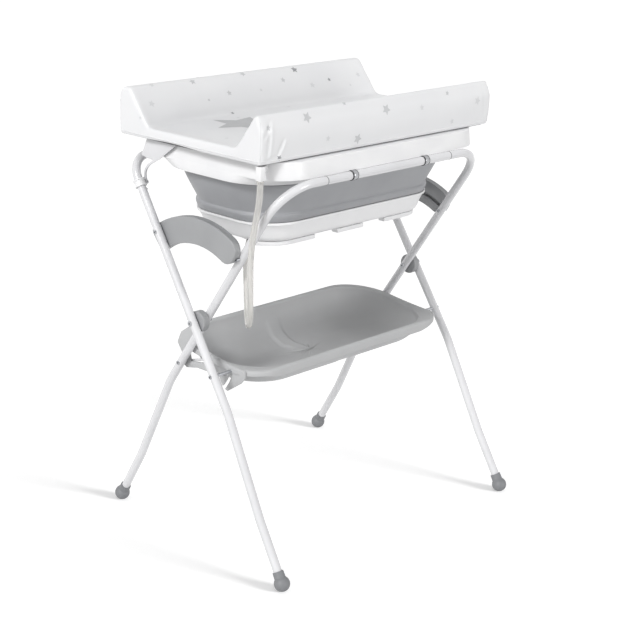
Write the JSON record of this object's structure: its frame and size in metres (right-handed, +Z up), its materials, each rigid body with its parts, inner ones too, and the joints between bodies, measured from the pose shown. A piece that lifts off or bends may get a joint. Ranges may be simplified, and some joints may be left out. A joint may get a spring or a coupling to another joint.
{
  "type": "folding changing table with bath",
  "caption": "Folding tube stand with a padded changing top hinged over a collapsible bath, a storage tray below and a drain hose.",
  "frame": {"origin": "on the floor under the crossing of the legs, in the middle of the stand", "axes": "+X along the table to the right, +Y to the back, +Z up"},
  "size_m": [0.7792, 0.624, 0.998],
  "materials": {
    "white_tube": "glossy white powder coat",
    "bright_steel": "bright plated",
    "dull_steel": "plain zinc",
    "grey_plastic": "moulded mid grey",
    "tray_plastic": "moulded mid grey with a slight sheen",
    "dark_plastic": "dark grey",
    "white_plastic": "glossy white",
    "grey_rubber": "soft grey",
    "hose_rubber": "translucent ivory",
    "board": "plain fibreboard",
    "mat_cover": "coated fabric, white with small grey stars"
  },
  "bodies": {
    "outer_frame": {"back_rail": "white_tube", "outer_leg_left": "white_tube", "outer_leg_right": "white_tube", "front_foot_left": "grey_plastic", "front_foot_right": "grey_plastic", "leg_collar_left": "white_plastic", "leg_collar_right": "white_plastic", "corner_bracket_left": "white_tube", "corner_bracket_right": "white_tube", "hinge_tabs": "white_tube", "bath_hinge_pins": "dull_steel", "arc_cover_left": "grey_plastic", "arc_cover_right": "grey_plastic", "arc_guide_left": "grey_plastic", "arc_guide_right": "grey_plastic", "arc_bolts": "dull_steel", "hub_disc_left": "grey_plastic", "hub_disc_right": "grey_plastic", "hub_rivets": "dull_steel", "tray_hook_pins": "dull_steel", "button_spring_left": "bright_steel", "button_spring_right": "bright_steel"},
    "inner_frame": {"inner_leg_left": "white_tube", "inner_leg_right": "white_tube", "front_rail": "white_tube", "rail_plugs": "grey_plastic", "rail_rings": "bright_steel", "back_foot_left": "grey_plastic", "back_foot_right": "grey_plastic", "guide_pins": "dull_steel", "tray_pivot_pins": "dull_steel"},
    "bath_shell": {"bath_rim": "white_plastic", "hose_clip": "white_plastic", "bath_wall": "grey_rubber", "drain_hose": "hose_rubber", "top_hinge_pins": "dull_steel"},
    "bath_floor": {"bath_base": "white_plastic", "drain_outlet": "white_plastic"},
    "changer": {"changer_board": "board", "changer_mat": "mat_cover", "top_hinges": "white_plastic"},
    "storage_tray": {"tray": "tray_plastic", "tray_wire_left": "white_tube", "tray_wire_right": "white_tube"},
    "button_left": {"spring_button_left": "dark_plastic"},
    "button_right": {"spring_button_right": "dark_plastic"}
  },
  "joints": [
    {"name": "frame_fold", "type": "hinge", "parent": "outer_frame", "child": "inner_frame", "pos_m": [0, 0, 0.5235], "axis": [1, 0, 0], "range_deg": [-54, 0]},
    {"name": "bath_swing", "type": "hinge", "parent": "outer_frame", "child": "bath_shell", "pos_m": [0, 0.216, 0.831], "axis": [1, 0, 0], "range_deg": [-140.8, 0]},
    {"name": "tray_swing", "type": "hinge", "parent": "inner_frame", "child": "storage_tray", "pos_m": [0, 0.0821, 0.404], "axis": [1, 0, 0], "range_deg": [-70.5, 0]},
    {"name": "changer_lift", "type": "hinge", "parent": "bath_shell", "child": "changer", "pos_m": [0, 0.2355, 0.888], "axis": [-1, 0, 0], "range_deg": [0, 95]},
    {"name": "bath_collapse", "type": "slide", "parent": "bath_shell", "child": "bath_floor", "axis": [0, 0, -1], "range_m": [-0.075, 0], "deforming": ["bath_wall", "drain_hose"]},
    {"name": "button_left_press", "type": "slide", "parent": "outer_frame", "child": "button_left", "axis": [-1, 0, 0], "range_m": [0, 0.0028], "stiffness_N_per_m": 900, "springref_m": -0.004, "deforming": ["button_spring_left"]},
    {"name": "button_right_press", "type": "slide", "parent": "outer_frame", "child": "button_right", "axis": [1, 0, 0], "range_m": [0, 0.0028], "stiffness_N_per_m": 900, "springref_m": -0.004, "deforming": ["button_spring_right"]}
  ],
  "couplings": [
    {"joint": "bath_swing", "follows": "frame_fold", "ratio": 2.6},
    {"joint": "tray_swing", "follows": "frame_fold", "ratio": 1.3}
  ]
}
